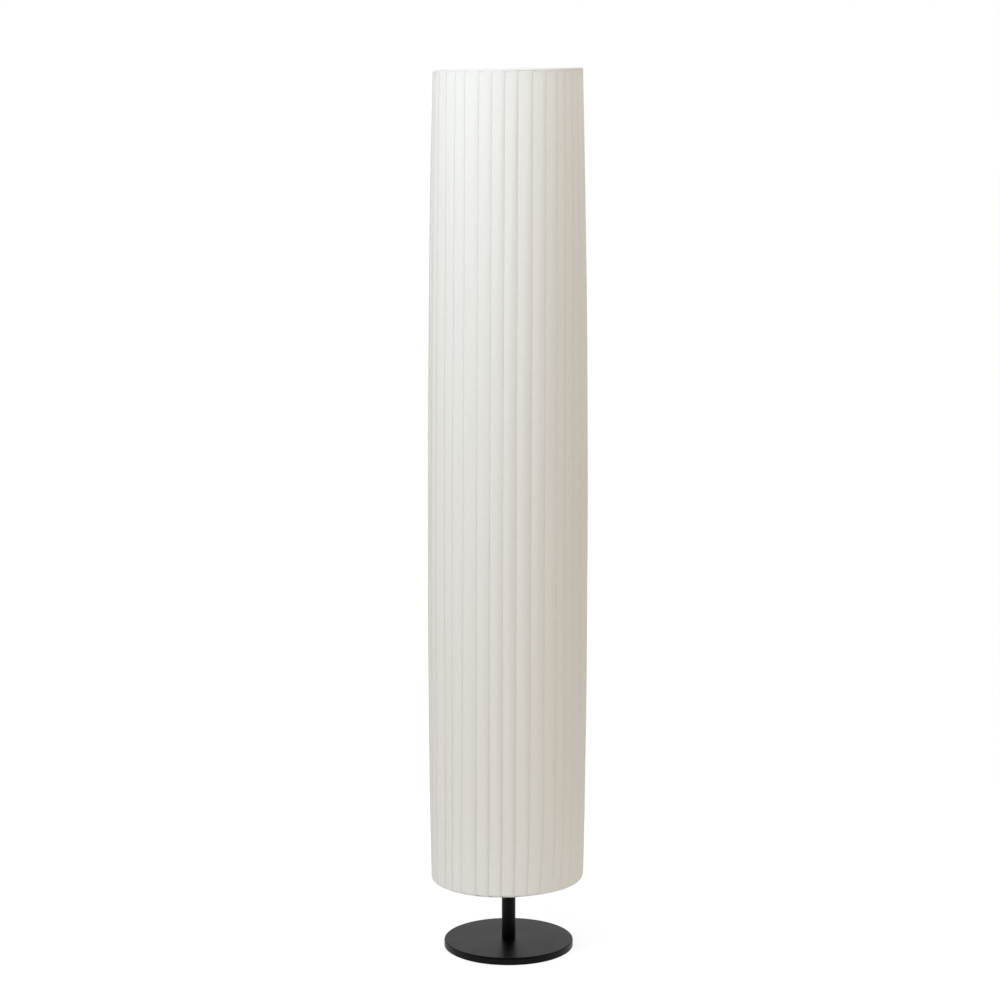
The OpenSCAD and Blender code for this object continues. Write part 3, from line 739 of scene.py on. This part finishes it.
# %% World
AMBIENT = (1.0, 0.921, 0.828)
AMBIENT_STRENGTH = 0.675
DARK_SKY = (0.15, -0.9)         # Y of a ray's direction where the studio starts to darken, and is darkest
world = bpy.data.worlds.new("studio")
bpy.context.scene.world = world
tree = empty_tree(world)
direction = add_node(tree, "ShaderNodeTexCoord").outputs["Generated"]
glow = add_node(tree, "ShaderNodeBackground", Color=(*AMBIENT, 1.0), Strength=AMBIENT_STRENGTH)
white = add_node(tree, "ShaderNodeBackground", Color=(1.0, 1.0, 1.0, 1.0))
feed(tree, dim_reflections(tree, direction, *DARK_SKY), white.inputs["Strength"])
out = add_node(tree, "ShaderNodeOutputWorld")
feed(tree, mix_shaders(tree, camera_like(tree), glow.outputs[0], white.outputs[0]), out.inputs["Surface"])
print("ambient strength:", AMBIENT_STRENGTH)

# %% The floor's material
SHEET_COLOUR = (0.95, 0.96, 0.98)       # white paper under the lamp
ROOM_FLOOR_COLOUR = (0.79, 0.73, 0.65)  # and a warmer floor beyond it
SHEET_RADII = (0.15, 0.5)               # where the one starts to give way to the other, and where it ends
SEEN_COLOUR = (0.25, 0.262, 0.285)      # what the camera sees by the lamps' light, with its shadows
SEEN_GLOW = 0.84                        # and the glow that lifts it to white
DARK_FLOOR = (-0.1, -0.6)               # Y where the floor starts to darken in reflections, and is darkest


def make_floor_material():
    material = bpy.data.materials.new("floor_white")
    tree = empty_tree(material)
    place = add_node(tree, "ShaderNodeTexCoord").outputs["Object"]
    away = add_node(tree, "ShaderNodeVectorMath", operation="LENGTH")
    feed(tree, place, away.inputs[0])
    beyond = ease(tree, away.outputs["Value"], *SHEET_RADII)
    paper = add_node(tree, "ShaderNodeBsdfDiffuse")
    feed(tree, blend_colours(tree, "MIX", beyond, SHEET_COLOUR, ROOM_FLOOR_COLOUR), paper.inputs["Color"])
    seen = add_node(tree, "ShaderNodeBsdfDiffuse", Color=(*SEEN_COLOUR, 1.0))
    lift = add_node(tree, "ShaderNodeEmission")
    kept = dim_reflections(tree, place, *DARK_FLOOR)
    feed(tree, calculate(tree, "MULTIPLY", kept, SEEN_GLOW), lift.inputs["Strength"])
    both = add_node(tree, "ShaderNodeAddShader")
    feed(tree, seen.outputs[0], both.inputs[0])
    feed(tree, lift.outputs[0], both.inputs[1])
    out = add_node(tree, "ShaderNodeOutputMaterial")
    feed(tree, mix_shaders(tree, camera_like(tree), paper.outputs[0], both.outputs[0]),
         out.inputs["Surface"])
    return material


# %% Floor
HALF_FLOOR = 30.0
FLOOR_GAP = 0.0002              # the floor lies this far under the pad, so that the two faces don't fight
corners = [(-1, -1), (1, -1), (1, 1), (-1, 1)]
floor = add_mesh("floor", [(x * HALF_FLOOR, y * HALF_FLOOR, -FLOOR_GAP) for x, y in corners], [(0, 1, 2, 3)])
floor.data.materials.append(make_floor_material())
print("floor made")

# %% Lamps
LAMPS = (   # name, place, target, size, watts, colour
    ("key", (-0.8, -1.0, 1.75), (0.0, 0.0, 1.02), (0.7, 0.7), 12.8, (0.725, 0.868, 1.0)),
    ("side_key", (-1.5, -1.1, 0.75), (0.0, 0.0, 0.75), (0.5, 1.0), 1.75, (0.53, 0.82, 1.0)),
    ("top_fill", (0.95, -0.5, 1.9), (0.0, 0.0, 1.1), (0.6, 0.6), 2.47, (0.738, 0.888, 1.0)),
)


def add_softbox(name, place, target, size, watts, colour):
    """A rectangular lamp at place that faces target. It doesn't show in reflections."""
    data = bpy.data.lights.new(name, "AREA")
    data.shape = "RECTANGLE"
    data.size, data.size_y = size
    data.energy = watts
    data.color = colour
    lamp = bpy.data.objects.new(name, data)
    lamp.location = place
    aim = np.array(target) - np.array(place)
    lamp.rotation_euler = (math.atan2(math.hypot(aim[0], aim[1]), -aim[2]), 0.0,
                           math.atan2(aim[1], aim[0]) - math.pi / 2)
    lamp.visible_glossy = False
    bpy.context.scene.collection.objects.link(lamp)


for settings in LAMPS:
    add_softbox(*settings)
print("lamps:", len(bpy.data.lights))
